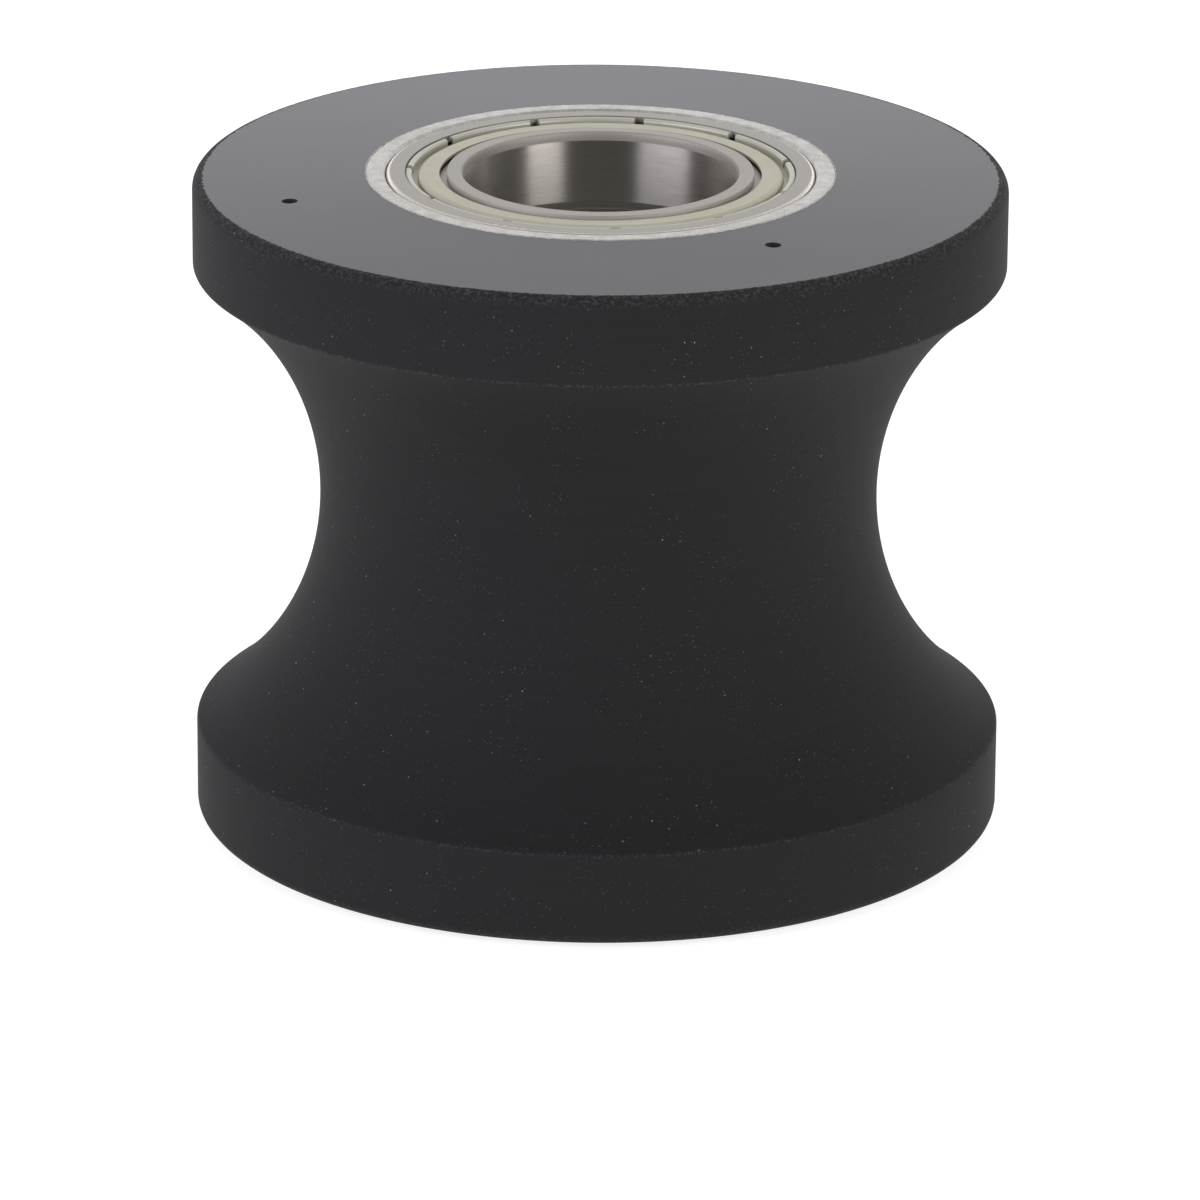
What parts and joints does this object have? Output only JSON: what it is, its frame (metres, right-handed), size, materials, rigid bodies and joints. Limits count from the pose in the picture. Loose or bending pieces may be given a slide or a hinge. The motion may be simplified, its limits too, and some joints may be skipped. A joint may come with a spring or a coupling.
{
  "type": "roller wheel",
  "caption": "Grooved rubber roller wheel on an aluminium sleeve, with a shielded ball bearing flush in each end, for guiding a pipe or bar.",
  "frame": {"origin": "centre of the wheel's lower end, on its axis", "axes": "+Z along the wheel's axis, upwards; X and Y across it"},
  "size_m": [0.089, 0.089, 0.0736],
  "materials": {
    "tread_rubber": "moulded end faces, ground running surface",
    "sleeve_aluminium": "matte turned",
    "ring_steel": "ground",
    "shield_sheet": "pressed, pale yellow plating",
    "cage_strip": "pressed strip",
    "ball_steel": "polished"
  },
  "bodies": {
    "wheel": {"rubber_tread": "tread_rubber", "hub_sleeve": "sleeve_aluminium", "upper_outer_ring": "ring_steel", "upper_outer_shield": "shield_sheet", "upper_inner_shield": "shield_sheet", "lower_outer_ring": "ring_steel", "lower_outer_shield": "shield_sheet", "lower_inner_shield": "shield_sheet"},
    "upper_inner_race": {"upper_inner_ring": "ring_steel"},
    "upper_ball_cage": {"upper_cage_outer_half": "cage_strip", "upper_cage_inner_half": "cage_strip", "upper_cage_rivets": "cage_strip", "upper_ball_01": "ball_steel", "upper_ball_02": "ball_steel", "upper_ball_03": "ball_steel", "upper_ball_04": "ball_steel", "upper_ball_05": "ball_steel", "upper_ball_06": "ball_steel", "upper_ball_07": "ball_steel", "upper_ball_08": "ball_steel", "upper_ball_09": "ball_steel", "upper_ball_10": "ball_steel", "upper_ball_11": "ball_steel", "upper_ball_12": "ball_steel", "upper_ball_13": "ball_steel", "upper_ball_14": "ball_steel"},
    "lower_inner_race": {"lower_inner_ring": "ring_steel"},
    "lower_ball_cage": {"lower_cage_outer_half": "cage_strip", "lower_cage_inner_half": "cage_strip", "lower_cage_rivets": "cage_strip", "lower_ball_01": "ball_steel", "lower_ball_02": "ball_steel", "lower_ball_03": "ball_steel", "lower_ball_04": "ball_steel", "lower_ball_05": "ball_steel", "lower_ball_06": "ball_steel", "lower_ball_07": "ball_steel", "lower_ball_08": "ball_steel", "lower_ball_09": "ball_steel", "lower_ball_10": "ball_steel", "lower_ball_11": "ball_steel", "lower_ball_12": "ball_steel", "lower_ball_13": "ball_steel", "lower_ball_14": "ball_steel"}
  },
  "joints": [
    {"name": "upper_axle_turn", "type": "hinge", "parent": "wheel", "child": "upper_inner_race", "pos_m": [0, 0, 0.06909], "axis": [0, 0, 1], "continuous": true},
    {"name": "upper_cage_turn", "type": "hinge", "parent": "wheel", "child": "upper_ball_cage", "pos_m": [0, 0, 0.06909], "axis": [0, 0, 1], "continuous": true},
    {"name": "lower_axle_turn", "type": "hinge", "parent": "wheel", "child": "lower_inner_race", "pos_m": [0, 0, 0.00455], "axis": [0, 0, 1], "continuous": true},
    {"name": "lower_cage_turn", "type": "hinge", "parent": "wheel", "child": "lower_ball_cage", "pos_m": [0, 0, 0.00455], "axis": [0, 0, 1], "continuous": true}
  ],
  "couplings": [
    {"joint": "upper_cage_turn", "follows": "upper_axle_turn", "ratio": 0.4382},
    {"joint": "lower_cage_turn", "follows": "lower_axle_turn", "ratio": 0.4382}
  ]
}
